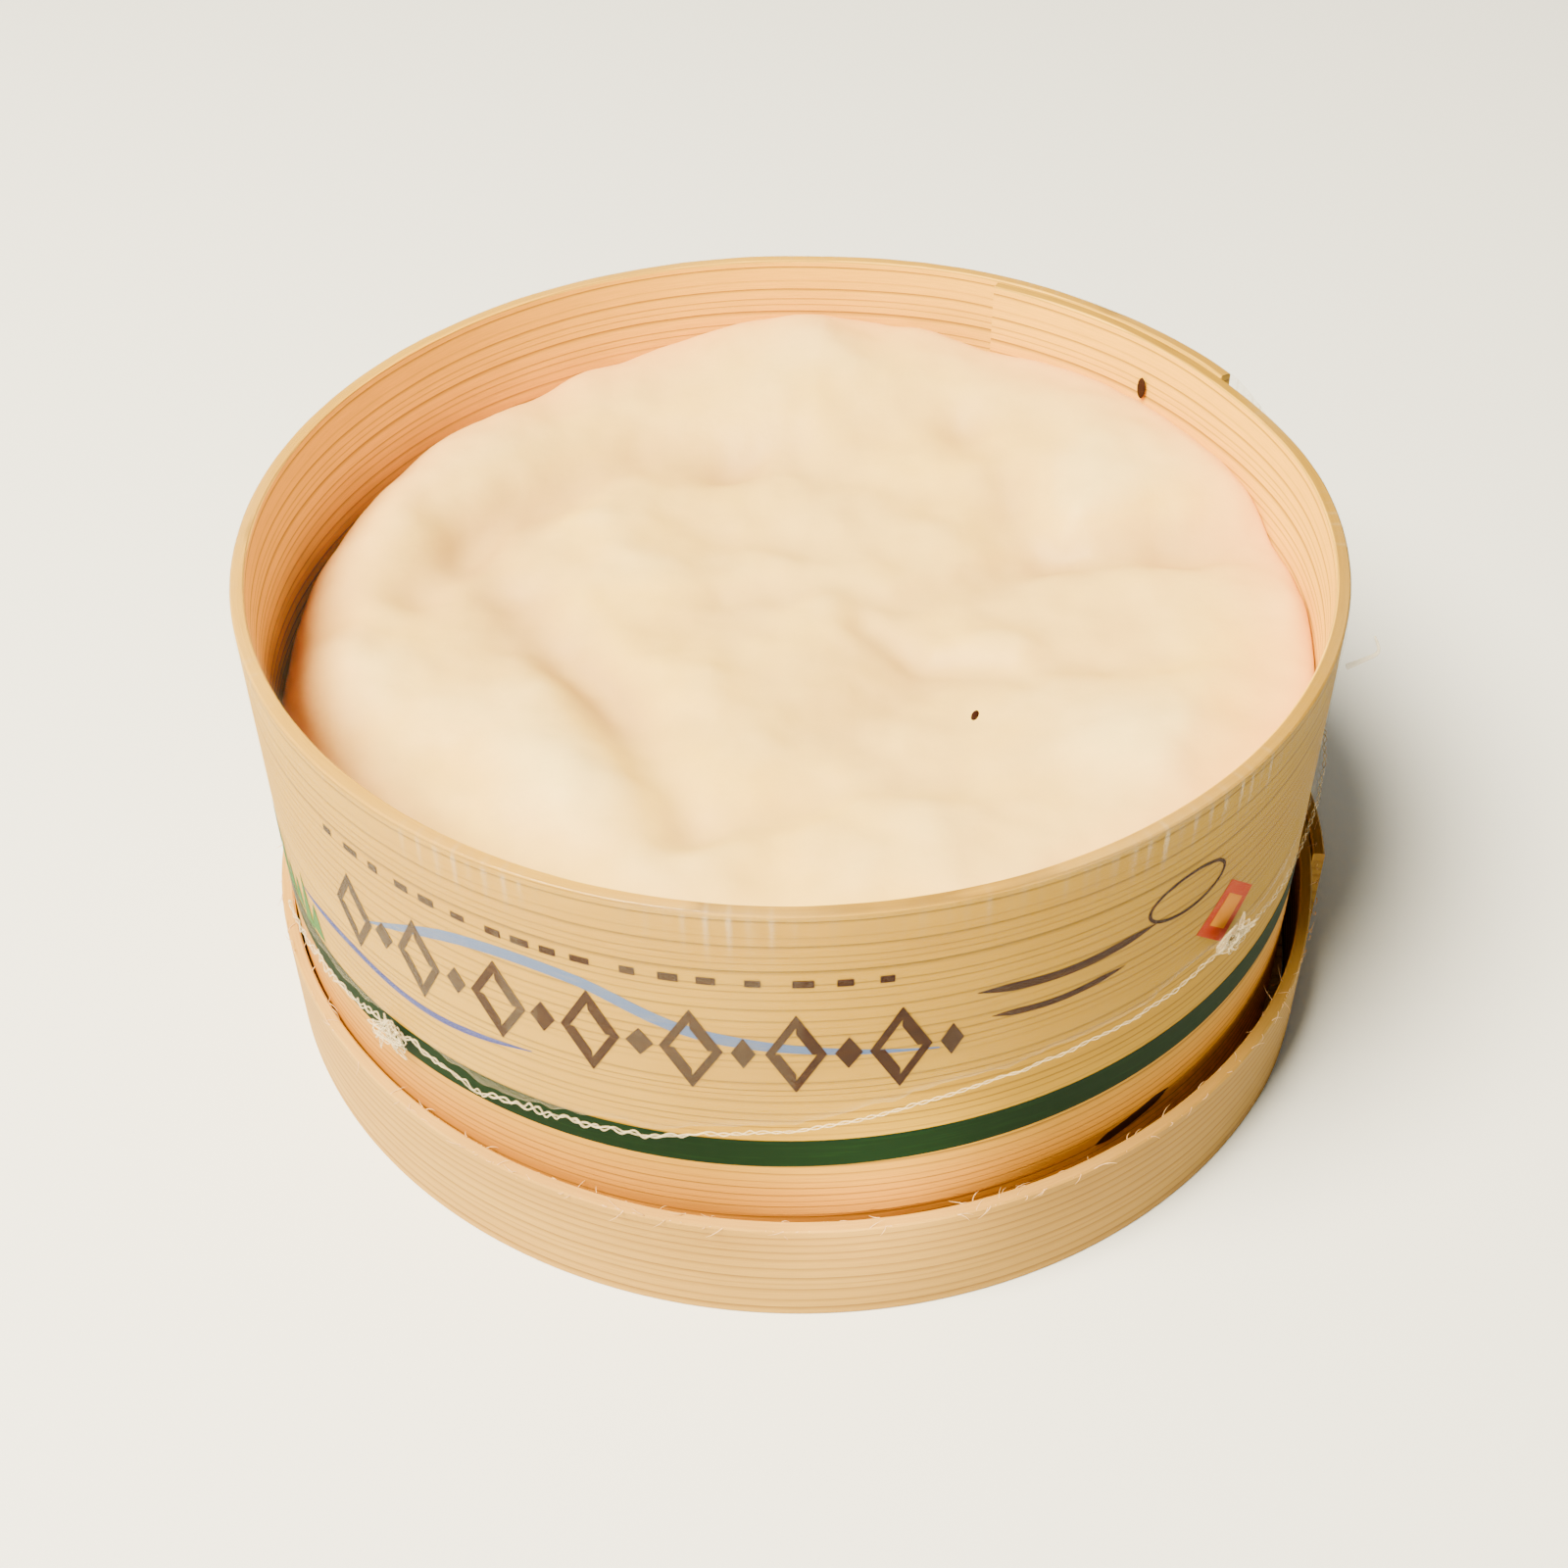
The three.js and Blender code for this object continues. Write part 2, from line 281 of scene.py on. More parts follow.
boxWood = spruceMaterial("spruce box veneer", {
    "pale": "c69c20", "warm": "b28418", "late": "3a2408", "inner": "f6c028", "paintedShade": 0.58,
    "ruddyAndShadedFoot": "ba7e1c",
    "ring": 0.0014, "uneven": 2.4, "start": 0.64, "contrast": 0.85, "shift": (0, 0, 0)})
lidWood = spruceMaterial("spruce lid veneer", {
    "pale": "c69e4a", "warm": "ae8238", "late": "5e3d16", "inner": "d8a848", "paintedShade": 0.62,
    "ring": 0.0015, "uneven": 2.2, "start": 0.5, "contrast": 0.7, "shift": (3, 5, 1)})
discWood = spruceMaterial("spruce base board", {
    "pale": "d1a366", "warm": "c08d4e", "late": "80501f",
    "ring": 0.0024, "uneven": 2.4, "start": 0.6, "contrast": 0.55, "shift": (7, 2, 4), "flat": True})
boxPiece = hoopPiece("spruceBoxHoop", box)
dress(boxPiece, boxWood, "spruce", "box_hoop")
lidPiece = hoopPiece("spruceLidHoop", lid)
dress(lidPiece, lidWood, "lid_spruce", "lid_hoop")
for nodeName in ("box_base", "lid_disc"):
    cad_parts[nodeName].data.materials.clear()
    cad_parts[nodeName].data.materials.append(discWood)
print("hoops", len(boxPiece.data.polygons) + len(lidPiece.data.polygons))

# cheese: its level, the height at the wall by angle, swells and folds as x, y, half length, half width,
# turn and rise, lumps as size, seed and rise, and creases as path, depth and width
cheese = {
    "level": 51.4, "bottom": 4.6, "rimFrom": 28, "rimTo": 60,
    "roundWidth": 4, "roundDrop": 2.5, "leftWidth": 9, "leftDrop": 8, "leftAngle": 192,
    "wall": [
        (-180, 50.5), (-150, 49), (-120, 50), (-90, 51), (-60, 52), (-30, 52.5), (-3, 53), (10, 54), (23,
            56.5),
        (40, 58.3), (51, 58), (64, 57), (74, 57.5), (85, 58.4), (100, 56.5), (111, 54.5), (122, 54), (134,
            53.6),
        (147, 53.6), (165, 52.5), (180, 50.5),
    ],
    "relief": [
        (-24, 52, 14, 9, -20, 1.2), (8, 56, 15, 9, 5, 1.0), (46, 32, 20, 14, -35, 2.0), (57, -4, 15, 12,
            80, 1.2),
        (-54, 22, 18, 9, 62, 1.8), (-57, -16, 18, 9, 105, 1.4), (-34, -27, 24, 9, -50, 2.8), (-12, 13, 24,
            17, 0, 1.0),
        (26, -7, 8, 5, -12, 1.6), (40, -31, 18, 13, 40, 2.2), (2, -46, 20, 11, 0, 1.2), (-36, 24, 21, 5,
            46, -1.9),
        (-8, 40, 16, 5, -8, -1.4), (-27, -10, 27, 5, -60, -2.2), (33, 30, 15, 5, 72, -1.4), (50, 12, 16,
            5, 8, -1.8),
        (12, -12, 18, 8, 15, -1.0),
    ],
    "wander": {"size": 14, "reach": 2.2},
    "lumps": [(17, 5, 1.8), (9, 6, 1.05), (4, 7, 0.26)],
    "creases": [
        ([(-41, 6), (-33, -3), (-25, -13), (-18, -27), (-13, -40)], 1.7, 4.2),
        ([(-50, 8), (-43, 22), (-32, 33), (-22, 38), (-8, 36)], 1.8, 4.4),
        ([(-8, 36), (6, 33), (20, 27)], 1.0, 4.0),
        ([(26, 40), (32, 24), (36, 13), (48, 11), (63, 15)], 1.9, 4.2),
        ([(-8, 4), (4, 7), (14, 3), (24, 8), (36, 13)], 1.2, 3.2),
        ([(10, -2), (18, -9), (30, -12), (40, -10)], 1.4, 2.8),
        ([(-28, 16), (-14, 20), (2, 16)], 0.9, 3.4),
        ([(-13, -40), (4, -36), (22, -34)], 1.1, 3.6),
    ],
}


def clearInside(hoop, degrees):
    turned = np.mod(hoop["lapFrom"] + hoop["lapSpan"] - degrees, 360)
    half = (hoop["veneer"] + layerGap) / 2
    past = smoothStep(turned, *innerEnd)
    lapped = 1 - smoothStep(turned, hoop["lapSpan"], hoop["lapSpan"] + lapEase)
    return hoop["radius"] - hoop["veneer"] - half * np.maximum(past, lapped) - fitGap


def lineDistance(x, y, path):
    best = np.full(x.shape, 1e9)
    for (ax, ay), (bx, by) in zip(path, path[1:]):
        run = (bx - ax) ** 2 + (by - ay) ** 2
        t = np.clip(((x - ax) * (bx - ax) + (y - ay) * (by - ay)) / run, 0, 1)
        best = np.minimum(best, np.hypot(x - ax - t * (bx - ax), y - ay - t * (by - ay)))
    return best


def rindHeight(x, y, edge):
    z = np.full(x.shape, float(cheese["level"]))
    flat = np.stack([x, y, np.zeros(x.shape)], -1)
    # the lines wander, as folds of a soft rind do
    wander = cheese["wander"]
    wx = x + wander["reach"] * noiseAt(flat, wander["size"], 3)
    wy = y + wander["reach"] * noiseAt(flat, wander["size"], 4)
    for cx, cy, length, width, turned, rise in cheese["relief"]:
        c, s = math.cos(math.radians(turned)), math.sin(math.radians(turned))
        along = ((wx - cx) * c + (wy - cy) * s) / length
        across = ((wy - cy) * c - (wx - cx) * s) / width
        z += rise * np.exp(-(along ** 2 + across ** 2))
    for path, depth, width in cheese["creases"]:
        z -= depth * np.exp(-(lineDistance(wx, wy, path) / width) ** 2)
    for size, seed, rise in cheese["lumps"]:
        z += rise * noiseAt(flat, size, seed)
    reliefForShading = z - cheese["level"]
    radius = np.hypot(x, y)
    bearing = np.degrees(np.arctan2(y, x))
    marks = np.array(cheese["wall"])
    climb = np.interp(bearing, marks[:, 0], marks[:, 1]) - cheese["level"]
    z += climb * smoothStep(radius, cheese["rimFrom"], cheese["rimTo"])
    left = np.maximum(0, np.cos(np.radians(bearing - cheese["leftAngle"])))
    width = cheese["roundWidth"] + cheese["leftWidth"] * left
    drop = cheese["roundDrop"] + cheese["leftDrop"] * left
    u = np.clip((radius - edge + width) / width, 0, 1)
    return z - drop * (1 - np.sqrt(1 - u * u)), reliefForShading


def cheesePiece(sides=300, rows=120):
    degrees = np.arange(sides) * 360 / sides
    angle = np.radians(degrees)
    edge = clearInside(box, degrees)
    share = np.sin(np.pi / 2 * (1 - np.arange(rows) / rows))[:, None]
    x = share * edge * np.cos(angle)
    y = share * edge * np.sin(angle)
    height, reliefForShading = rindHeight(x, y, np.repeat(edge[None], rows, 0))
    top = np.stack([x, y, height], -1)
    wall = []
    for pull, z in ((3.0, 0.0), (0.8, 0.9), (0.0, 3.0), (0.0, 18.0), (0.0, 30.0)):
        spread = edge - pull
        wall.append(np.stack([spread * np.cos(angle), spread * np.sin(angle),
            np.full(sides, cheese["bottom"] + z)], -1))
    rings = np.concatenate([np.array(wall), top])
    peak = rindHeight(np.zeros(1), np.zeros(1), np.full(1, 68.0))[0][0]
    # the top's relief height goes on the mesh, to paint shade into hollows and highlight onto crests
    tone = np.concatenate([np.zeros((len(wall), sides)), reliefForShading])
    values = {"tone": np.repeat(tone[:, :, None], 3, 2)}
    return ringSolid("softCheese", (0, 0, cheese["bottom"]), rings, (0, 0, peak), values, 1.2)


# washed rind of a soft cheese: cream bloom, peach where it is thin or moist, faint mottling, painted
# shade in the low hollows and painted highlight on the high crests
def rindMaterial():
    material, tree = newMaterial("soft cheese rind")
    place = addNode(tree, "ShaderNodeTexCoord").outputs["Object"]
    broad = addNode(tree, "ShaderNodeTexNoise", None,
        {"Vector": place, "Scale": 34.0, "Detail": 3.0, "Roughness": 0.55})
    fine = addNode(tree, "ShaderNodeTexNoise", None,
        {"Vector": place, "Scale": 420.0, "Detail": 4.0, "Roughness": 0.6})
    parts = addNode(tree, "ShaderNodeSeparateXYZ", None, {0: place})
    acrossX = mathNode(tree, "ADD", parts.outputs[0], middle * mm)
    square = mathNode(tree, "MULTIPLY", acrossX, acrossX)
    square = mathNode(tree, "ADD", square, mathNode(tree, "MULTIPLY", parts.outputs[1], parts.outputs[1]))
    spread = mathNode(tree, "SQRT", square)
    edge = addNode(tree, "ShaderNodeMapRange", None,
        {"Value": spread, 1: 0.054, 2: 0.067, 3: 0.0, 4: 0.75})
    patch = addNode(tree, "ShaderNodeMapRange", None,
        {"Value": broad.outputs["Fac"], 1: 0.42, 2: 0.68, 3: 0.0, 4: 1.0})
    colour = mixColour(tree, patch.outputs[0], linear("eecb72"), linear("f5cf60"))
    tone = addNode(tree, "ShaderNodeAttribute", {"attribute_name": "tone"})
    # painted shade darkens the low hollows, painted highlight lightens the high crests
    paintedHollowShade = addNode(tree, "ShaderNodeMapRange", None,
        {"Value": tone.outputs["Fac"], 1: 0.4, 2: -3.0, 3: 0.0, 4: 0.8})
    paintedCrestHighlight = addNode(tree, "ShaderNodeMapRange", None,
        {"Value": tone.outputs["Fac"], 1: 0.8, 2: 3.2, 3: 0.0, 4: 0.8})
    colour = mixColour(tree, paintedHollowShade.outputs[0], colour, linear("caa25e"))
    colour = mixColour(tree, paintedCrestHighlight.outputs[0], colour, linear("fde298"))
    colour = mixColour(tree, edge.outputs[0], colour, linear("eab06a"))
    mottle = addNode(tree, "ShaderNodeMapRange", None,
        {"Value": fine.outputs["Fac"], 1: 0.3, 2: 0.7, 3: 0.97, 4: 1.02})
    colour = mixColour(tree, 1.0, colour, mottle.outputs[0], "MULTIPLY")
    lift = addNode(tree, "ShaderNodeBump", None,
        {"Strength": 0.25, "Distance": 0.0003, "Height": fine.outputs["Fac"]})
    shader = addNode(tree, "ShaderNodeBsdfPrincipled", None, {
        "Base Color": colour, "Roughness": 0.5, "Normal": lift.outputs[0], "Specular IOR Level": 0.35,
        "Subsurface Weight": 0.2, "Subsurface Radius": (1.0, 0.7, 0.4), "Subsurface Scale": 0.0015})
    setSurface(tree, shader.outputs[0])
    return material


cheeseBody = cheesePiece()
dress(cheeseBody, rindMaterial(), "rind", "cheese")
print("cheese", len(cheeseBody.data.polygons))

# printing: closed slips of ink on the box, outlines given as arc from the front and height
ink = {"depth": 0.025, "step": 1.5}


def inkMaterial(name, main, worn):
    material, tree = newMaterial(name)
    place = addNode(tree, "ShaderNodeTexCoord").outputs["Object"]
    lines = addNode(tree, "ShaderNodeMapping", None, {"Vector": place, "Scale": (120, 120, 2600)})
    rub = addNode(tree, "ShaderNodeTexNoise", None,
        {"Vector": lines.outputs[0], "Scale": 1.0, "Detail": 3.0})
    share = addNode(tree, "ShaderNodeMapRange", None,
        {"Value": rub.outputs["Fac"], 1: 0.52, 2: 0.75, 3: 0.0, 4: 0.45})
    colour = mixColour(tree, share.outputs[0], linear(main), linear(worn))
    shader = addNode(tree, "ShaderNodeBsdfPrincipled", None,
        {"Base Color": colour, "Roughness": 0.7, "Specular IOR Level": 0.06})
    setSurface(tree, shader.outputs[0])
    return material


inks = {
    "green": inkMaterial("green ink on spruce", "08200a", "12300f"),
    "brown": inkMaterial("brown ink on spruce", "2c150c", "55341a"),
    "blue": inkMaterial("blue ink on spruce", "1b2c7c", "4a5290"),
    "paleBlue": inkMaterial("pale blue ink on spruce", "4f6796", "87826a"),
    "paleGreen": inkMaterial("pale green ink on spruce", "2f6428", "6d7a3c"),
    "terracotta": inkMaterial("terracotta ink on spruce", "a42c06", "bc5e18"),
    "ochre": inkMaterial("ochre ink on spruce", "c4780a", "c98420"),
}


# flat outlines become thin closed slips, cut often enough to follow the wall
def slipMesh(name, outlines):
    work = bmesh.new()
    for outline in outlines:
        work.faces.new([work.verts.new((s, 0, z)) for s, z in outline])
    bmesh.ops.triangulate(work, faces=work.faces)
    low = min(v.co.x for v in work.verts)
    high = max(v.co.x for v in work.verts)
    for cut in np.arange(math.ceil(low / ink["step"]) * ink["step"], high, ink["step"]):
        everything = work.verts[:] + work.edges[:] + work.faces[:]
        bmesh.ops.bisect_plane(work, geom=everything, plane_co=(cut, 0, 0), plane_no=(1, 0, 0), dist=1e-5)
    made = bmesh.ops.extrude_face_region(work, geom=work.faces[:])
    for item in made["geom"]:
        if isinstance(item, bmesh.types.BMVert):
            item.co.y -= ink["depth"]
    mesh = bpy.data.meshes.new(name)
    work.to_mesh(mesh)
    work.free()
    return mesh


def wrapOn(mesh, radius, lift):
    places = np.empty(len(mesh.vertices) * 3)
    mesh.vertices.foreach_get("co", places)
    s, out, z = places.reshape(-1, 3).T
    spread = radius + lift - out
    places = np.stack([spread * np.sin(s / radius), -spread * np.cos(s / radius), z], -1) * mm
    mesh.vertices.foreach_set("co", places.ravel())


def printPiece(name, outlines, inkName, lift=0.03):
    mesh = slipMesh(name, outlines)
    wrapOn(mesh, box["radius"], lift)
    piece = placeMesh(name, mesh, 0.5)
    dress(piece, inks[inkName], "spruce")


def ribbon(path, width):
    path = np.array(path, float)
    slope = np.gradient(path, axis=0)
    slope /= np.linalg.norm(slope, axis=1)[:, None]
    side = np.stack([-slope[:, 1], slope[:, 0]], -1)
    taper = np.clip(np.sin(np.linspace(0, np.pi, len(path))) * 1.6, 0.12, 1)[:, None]
    left = path + side * taper * width / 2
    low = path - side * taper * width / 2
    quads = []
    for k in range(len(path) - 1):
        quads.append([left[k], low[k], low[k + 1], left[k + 1]])
    return quads


def curveThrough(points, count=28):
    points = np.array(points, float)
    t = np.linspace(0, len(points) - 1, count)
    k = np.clip(t.astype(int), 0, len(points) - 2)
    f = (t - k)[:, None]
    before = points[np.clip(k - 1, 0, None)]
    after = points[np.clip(k + 2, None, len(points) - 1)]
    a, b = points[k], points[k + 1]
    bend = (2 * before - 5 * a + 4 * b - after) * f ** 2
    twist = (3 * a - before - 3 * b + after) * f ** 3
    return 0.5 * (2 * a + (b - before) * f + bend + twist)


def ovalRing(s, z, wide, tall, line):
    quads = []
    for k in range(32):
        a, b = 2 * math.pi * k / 32, 2 * math.pi * (k + 1) / 32
        corners = ((a, 0), (b, 0), (b, line), (a, line))
        quads.append([(s + (wide - d) * math.cos(t), z + (tall - d) * math.sin(t)) for t, d in corners])
    return quads


# one node tree sets copies of a template on a piece's points, each turned and sized at random
def scatterTree():
    tree = bpy.data.node_groups.new("scatter", "GeometryNodeTree")
    face = tree.interface
    face.new_socket(name="Points", in_out="INPUT", socket_type="NodeSocketGeometry")
    face.new_socket(name="Template", in_out="INPUT", socket_type="NodeSocketObject")
    face.new_socket(name="Turn", in_out="INPUT", socket_type="NodeSocketVector")
    face.new_socket(name="Small", in_out="INPUT", socket_type="NodeSocketVector")
    face.new_socket(name="Large", in_out="INPUT", socket_type="NodeSocketVector")
    face.new_socket(name="Seed", in_out="INPUT", socket_type="NodeSocketInt")
    face.new_socket(name="Material", in_out="INPUT", socket_type="NodeSocketMaterial")
    face.new_socket(name="Geometry", in_out="OUTPUT", socket_type="NodeSocketGeometry")
    given = addNode(tree, "NodeGroupInput").outputs
    opposite = addNode(tree, "ShaderNodeVectorMath", {"operation": "SCALE"},
        {0: given["Turn"], "Scale": -1.0})
    spin = addNode(tree, "FunctionNodeRandomValue", {"data_type": "FLOAT_VECTOR"},
        {0: opposite.outputs[0], 1: given["Turn"], "Seed": given["Seed"]})
    size = addNode(tree, "FunctionNodeRandomValue", {"data_type": "FLOAT_VECTOR"},
        {0: given["Small"], 1: given["Large"], "Seed": given["Seed"]})
    shape = addNode(tree, "GeometryNodeObjectInfo", None, {"Object": given["Template"]})
    dots = addNode(tree, "GeometryNodeMeshToPoints", None, {"Mesh": given["Points"]})
    base = addNode(tree, "GeometryNodeInputNamedAttribute", {"data_type": "FLOAT_VECTOR"},
        {"Name": "facing"})
    euler = addNode(tree, "ShaderNodeVectorMath", {"operation": "ADD"},
        {0: base.outputs[0], 1: spin.outputs[0]})
    copies = addNode(tree, "GeometryNodeInstanceOnPoints", None, {
        "Points": dots.outputs[0], "Instance": shape.outputs["Geometry"],
        "Rotation": euler.outputs[0], "Scale": size.outputs[0]})
    real = addNode(tree, "GeometryNodeRealizeInstances", None, {"Geometry": copies.outputs[0]})
    inked = addNode(tree, "GeometryNodeSetMaterial", None,
        {"Geometry": real.outputs[0], "Material": given["Material"]})
    addNode(tree, "NodeGroupOutput", None, {0: inked.outputs[0]})
    return tree


scatter = scatterTree()


def scattered(name, points, template, material, turn, small, large, seed, facing=None):
    dots = bpy.data.meshes.new(name)
    dots.from_pydata([tuple(p) for p in points], [], [])
    turned = facing if facing is not None else np.zeros((len(points), 3))
    dots.attributes.new("facing", "FLOAT_VECTOR", "POINT").data.foreach_set("vector",
        np.asarray(turned, float).ravel())
    holder = bpy.data.objects.new(name, dots)
    bpy.context.scene.collection.objects.link(holder)
    shape = bpy.data.objects.new(name + "Template", template)
    bpy.context.scene.collection.objects.link(shape)
    modifier = holder.modifiers.new("scatter", "NODES")
    modifier.node_group = scatter
    wanted = {"Template": shape, "Turn": turn, "Small": small, "Large": large, "Seed": seed,
        "Material": material}
    for item in scatter.interface.items_tree:
        if item.in_out == "INPUT" and item.name in wanted:
            modifier[item.identifier] = wanted[item.name]
    whole = bpy.data.meshes.new_from_object(holder.evaluated_get(bpy.context.evaluated_depsgraph_get()))
    bpy.data.objects.remove(holder)
    bpy.data.objects.remove(shape)
    return whole


def printRow(name, points, outlines, inkName, small, large, seed):
    mesh = scattered(name, [(s, 0, z) for s, z in points], slipMesh(name, outlines), inks[inkName],
        (0, 0, 0), small, large, seed)
    wrapOn(mesh, box["radius"], 0.07)
    piece = placeMesh(name, mesh, 0.5)
    dress(piece, inks[inkName], "spruce")


band = {"from": -122, "to": 122, "low": 25.4, "high": 29.9, "wander": 0.35}
marks = np.linspace(band["from"], band["to"], 160)
low = band["low"] + band["wander"] * np.sin(marks / 40)
high = band["high"] + band["wander"] * np.sin(marks / 40 + 0.3)
slips = []
for k in range(len(marks) - 1):
    slips.append([(marks[k], low[k]), (marks[k + 1], low[k + 1]), (marks[k + 1], high[k + 1]),
        (marks[k], high[k])])
printPiece("greenBand", slips, "green")
printPiece("lowerBlueLine",
    ribbon(curveThrough([(-74, 36.4), (-62, 37.4), (-46, 36.2), (-31, 38.2)]), 1.1), "blue")
printPiece("upperBlueLine",
    ribbon(curveThrough([(-56, 45), (-40, 52.4), (-25, 53), (-10, 47.5), (16, 44)]), 1.7), "paleBlue")
printPiece("emptyOval", ovalRing(48, 53.8, 6.4, 3.2, 0.5), "brown")
printPiece("terracottaLozenge", [[(50.8, 44.8), (56.5, 39.6), (62.2, 44.8), (56.5, 50)]], "terracotta")
printPiece("ochreLozenge", [[(53.2, 44.8), (56.5, 41.8), (59.8, 44.8), (56.5, 47.8)]], "ochre", 0.07)
printPiece("brownStreak", ribbon(curveThrough([(38.5, 15.6), (44, 16.6), (50.5, 17.8)]), 1.7), "brown")

# border of tall open lozenges with small full ones between, and a row of dashes above
lozenge = []
for k in range(4):
    corner = [(-3.6, 0), (0, 6.4), (3.6, 0), (0, -6.4)]
    a, b = corner[k], corner[(k + 1) % 4]
    thin = 0.52 if k % 2 else 0.68
    lozenge.append([a, b, (b[0] * thin, b[1] * thin), (a[0] * thin, a[1] * thin)])
tall = [(-58 + 11.6 * k, 45.2 - 0.02 * k) for k in range(7)]
between = [(s + 5.8, z) for s, z in tall]
printRow("tallLozenges", tall, lozenge, "brown", (0.92, 1, 0.94), (1.05, 1, 1.04), 3)
printRow("smallLozenges", between, [[(-1.5, 0), (0, -2.4), (1.5, 0), (0, 2.4)]], "brown", (0.9, 1, 0.9),
    (1.1, 1, 1.1), 4)
dashes = []
place = -62.0
while place < 11:
    long = random.choice((2.2, 2.8, 3.6))
    dashes.append((place + long / 2, 56.4))
    place += long + random.choice((0.9, 0.9, 1.8))
printRow("dashRow", dashes, [[(-1, -0.6), (1, -0.6), (1, 0.6), (-1, 0.6)]], "brown", (0.7, 1, 0.8),
    (1.25, 1, 1.0), 5)
printPiece("longStroke", ribbon(curveThrough([(20, 51.6), (31, 50.8), (43, 51.8)]), 1.3), "brown")
printPiece("shortStroke", ribbon(curveThrough([(22, 47.2), (30, 46.6), (39, 47.4)]), 1.0), "brown")

# a wooded skyline of plain triangles at the far left
woods = [(-96 + 3.1 * k, 31.5) for k in range(9)]
printRow("woodSkyline", woods, [[(-1.9, -1.5), (1.9, -1.5), (0, 6)]], "paleGreen", (0.7, 1, 0.6),
    (1.2, 1, 1.5), 8)
print("print")

# film: over the mouth, tight round the rim, pleated below it, ragged at the lower edge
film = {
    "stand": 0.14, "thick": 0.05, "hold": 1, "bridge": 8,
    "edge": [
        (-180, 25.5), (-150, 27), (-129, 29.8), (-122, 27.4), (-113, 29.3), (-105, 29.9), (-97, 32.1),
        (-90, 33), (-83, 35), (-73, 37.2), (-62, 38.3), (-54, 38.5), (-46, 39.9), (-35, 38.4),
        (-15, 40.5), (10, 42), (40, 39.5), (70, 37), (100, 34.5), (130, 30), (155, 27.5), (180, 25.5),
    ],
}


def clearOutside(hoop, degrees):
    turned = np.mod(hoop["lapFrom"] + hoop["lapSpan"] - degrees, 360)
    half = (hoop["veneer"] + layerGap) / 2
    begin = hoop["lapSpan"] + film["hold"]
    end = lapShift(hoop, np.array(begin + film["bridge"]))
    slope = half + (end - half) * np.clip((turned - begin) / film["bridge"], 0, 1)
    shift = np.where(turned <= hoop["lapSpan"], lapShift(hoop, turned + 360), lapShift(hoop, turned))
    bridging = (turned > hoop["lapSpan"]) & (turned < begin + film["bridge"])
    return hoop["radius"] + np.where(bridging, slope, shift)


